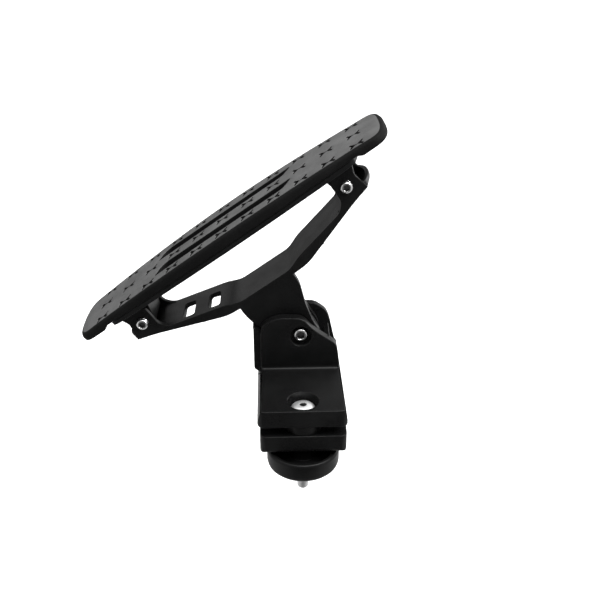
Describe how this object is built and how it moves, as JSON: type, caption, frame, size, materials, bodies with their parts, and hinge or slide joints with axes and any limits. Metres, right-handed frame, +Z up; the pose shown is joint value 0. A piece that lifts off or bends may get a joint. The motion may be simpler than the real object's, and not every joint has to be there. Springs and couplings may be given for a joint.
{
  "type": "kayak saddle carrier",
  "caption": "Tilting hull saddle on a roof-rack crossbar clamp: a long grooved pad on a forked arm, a pivot, a bracket with a hinged jaw and a hand knob.",
  "frame": {"origin": "on the rubber face that rests on the crossbar, below the front face of the upright and midway along the bracket", "axes": "+X along the crossbar, +Y across it away from the clamp bolt, +Z up"},
  "size_m": [0.2665, 0.1588, 0.3038],
  "materials": {
    "black_plastic": "satin moulded, fine grain",
    "pad_rubber": "matt moulded",
    "liner_rubber": "matt",
    "steel": "bright",
    "nylon": "satin",
    "brass": "satin"
  },
  "bodies": {
    "base": {"base_bracket": "black_plastic", "bar_seat_liner": "liner_rubber", "clamp_bolt": "steel", "clamp_bolt_washer": "steel", "jaw_hinge_pin": "steel", "hinge_pin_clip_left": "steel", "hinge_pin_clip_right": "steel", "pivot_bolt": "steel", "friction_disc_front": "nylon", "friction_disc_rear": "nylon", "pivot_washer": "steel", "pivot_nut": "steel"},
    "saddle": {"saddle_arm": "black_plastic", "pivot_sleeve": "steel", "pad_carrier": "black_plastic", "saddle_pad": "pad_rubber", "lug_screw_left": "steel", "lug_washer_front_left": "steel", "lug_washer_rear_left": "steel", "lug_nut_left": "steel", "lug_sleeve_left": "nylon", "lug_screw_right": "steel", "lug_washer_front_right": "steel", "lug_washer_rear_right": "steel", "lug_nut_right": "steel", "lug_sleeve_right": "nylon"},
    "jaw": {"lower_jaw": "black_plastic", "jaw_liner": "liner_rubber"},
    "thrust_washer": {"knob_washer": "steel"},
    "knob": {"clamp_knob": "black_plastic", "knob_insert": "brass"}
  },
  "joints": [
    {"name": "saddle_tilt", "type": "hinge", "parent": "base", "child": "saddle", "pos_m": [0, 0.0355, 0.0487], "axis": [0, 1, 0], "range_deg": [0, 70]},
    {"name": "knob_spin", "type": "hinge", "parent": "thrust_washer", "child": "knob", "pos_m": [0, -0.0523, -0.036], "axis": [0, 0, -1], "range_deg": [0, 3600]},
    {"name": "washer_travel", "type": "slide", "parent": "base", "child": "thrust_washer", "axis": [0, 0, -1], "range_m": [0, 0.015]},
    {"name": "jaw_swing", "type": "hinge", "parent": "base", "child": "jaw", "pos_m": [0, 0.058, -0.036], "axis": [1, 0, 0], "range_deg": [0, 7.05]}
  ],
  "couplings": [
    {"joint": "washer_travel", "follows": "knob_spin", "m_per_rad": 0.00023873},
    {"joint": "jaw_swing", "follows": "knob_spin", "ratio": 0.0019568}
  ]
}
